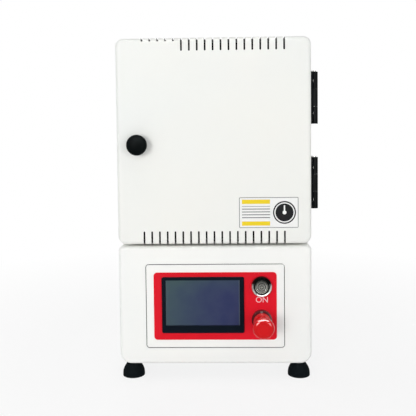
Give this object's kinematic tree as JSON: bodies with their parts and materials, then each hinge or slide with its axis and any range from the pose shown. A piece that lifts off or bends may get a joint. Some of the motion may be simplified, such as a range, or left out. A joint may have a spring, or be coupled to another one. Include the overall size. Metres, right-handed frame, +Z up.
{
  "type": "muffle furnace",
  "caption": "Bench muffle furnace with a side-hung insulated door over a control fascia with screen, start and stop buttons, on rubber feet.",
  "frame": {"origin": "middle of the base of the whole furnace, at floor level", "axes": "+X to the right seen from the front, +Y to the rear, +Z up"},
  "size_m": [0.316, 0.4558, 0.532],
  "materials": {
    "white_enamel": "white powder coat, satin",
    "zinc_sheet": "zinc-plated sheet",
    "stainless_sheet": "brushed stainless sheet",
    "steel_fasteners": "bright zinc-plated",
    "foot_rubber": "black moulded rubber",
    "red_overlay": "smooth red sheet",
    "screen_plastic": "fine black moulded plastic",
    "screen_glass": "dark touch glass over an unlit display",
    "turned_steel": "nickel-plated, turned",
    "red_plastic": "glossy red moulding",
    "black_plastic": "black moulding",
    "fibre_board": "vacuum-formed alumina-silica fibre",
    "rope_seal": "braided glass-fibre tape",
    "hinge_black": "black powder coat",
    "magnet": "dark ferrite in a shell",
    "hearth_ceramic": "silicon carbide",
    "resistance_wire": "oxidised resistance wire",
    "white_ceramic": "unglazed alumina",
    "cast_aluminium": "plain aluminium",
    "supply_case": "plated sheet"
  },
  "bodies": {
    "cabinet": {"base_tray": "zinc_sheet", "board_floor": "fibre_board", "board_left": "fibre_board", "board_rear": "fibre_board", "board_right": "fibre_board", "board_roof": "fibre_board", "cable_gland": "black_plastic", "casing_rails": "zinc_sheet", "catch_magnet": "magnet", "contact_blocks": "black_plastic", "contactor": "black_plastic", "deck": "zinc_sheet", "element_bushes": "white_ceramic", "element_left": "resistance_wire", "element_right": "resistance_wire", "estop_collar": "red_plastic", "fan_frame": "black_plastic", "fan_guard": "turned_steel", "fascia": "white_enamel", "feet": "foot_rubber", "flue_flange": "zinc_sheet", "flue_tube": "white_ceramic", "foot_screws": "steel_fasteners", "front_frame": "zinc_sheet", "front_overlay": "red_overlay", "gland_nut": "black_plastic", "hearth_plate": "hearth_ceramic", "heat_sink": "cast_aluminium", "hinge_cabinet_leaves": "hinge_black", "hinge_cabinet_screws": "steel_fasteners", "hinge_pins": "steel_fasteners", "inner_casing": "stainless_sheet", "mounting_rail": "zinc_sheet", "mouth_collar": "fibre_board", "outer_shell": "white_enamel", "panel_nuts": "black_plastic", "panel_plate": "white_enamel", "power_supply": "supply_case", "rear_cover": "white_enamel", "rear_cover_screws": "steel_fasteners", "screen_bezel": "screen_plastic", "screen_glass": "screen_glass", "screen_housing": "screen_plastic", "solid_state_relay": "black_plastic", "start_bezel": "turned_steel", "thermocouple_head": "cast_aluminium", "thermocouple_sheath": "white_ceramic"},
    "door": {"door_shell": "white_enamel", "door_liner": "stainless_sheet", "door_insulation": "fibre_board", "door_gasket": "rope_seal", "door_knob": "black_plastic", "knob_bolt": "steel_fasteners", "strike_plate": "stainless_sheet", "hinge_door_leaves": "hinge_black", "hinge_door_screws": "steel_fasteners"},
    "start_button": {"start_plunger": "turned_steel"},
    "stop_spindle": {"estop_spindle": "black_plastic"},
    "stop_head": {"estop_head": "red_plastic"},
    "fan_wheel": {"fan_rotor": "black_plastic"}
  },
  "joints": [
    {"name": "door_swing", "type": "hinge", "parent": "cabinet", "child": "door", "pos_m": [0.151, -0.1366, 0.374], "axis": [0, 0, 1], "range_deg": [0, 120]},
    {"name": "start_press", "type": "slide", "parent": "cabinet", "child": "start_button", "axis": [0, 1, 0], "range_m": [0, 0.0025], "stiffness_N_per_m": 600},
    {"name": "stop_press", "type": "slide", "parent": "cabinet", "child": "stop_spindle", "axis": [0, 1, 0], "range_m": [0, 0.005]},
    {"name": "stop_twist", "type": "hinge", "parent": "stop_spindle", "child": "stop_head", "pos_m": [0.064, -0.2001, 0.097], "axis": [0, 1, 0], "range_deg": [0, 45], "stiffness_Nm_per_rad": 0.02},
    {"name": "fan_spin", "type": "hinge", "parent": "cabinet", "child": "fan_wheel", "pos_m": [0.052, 0.1909, 0.112], "axis": [0, 1, 0], "continuous": true}
  ]
}
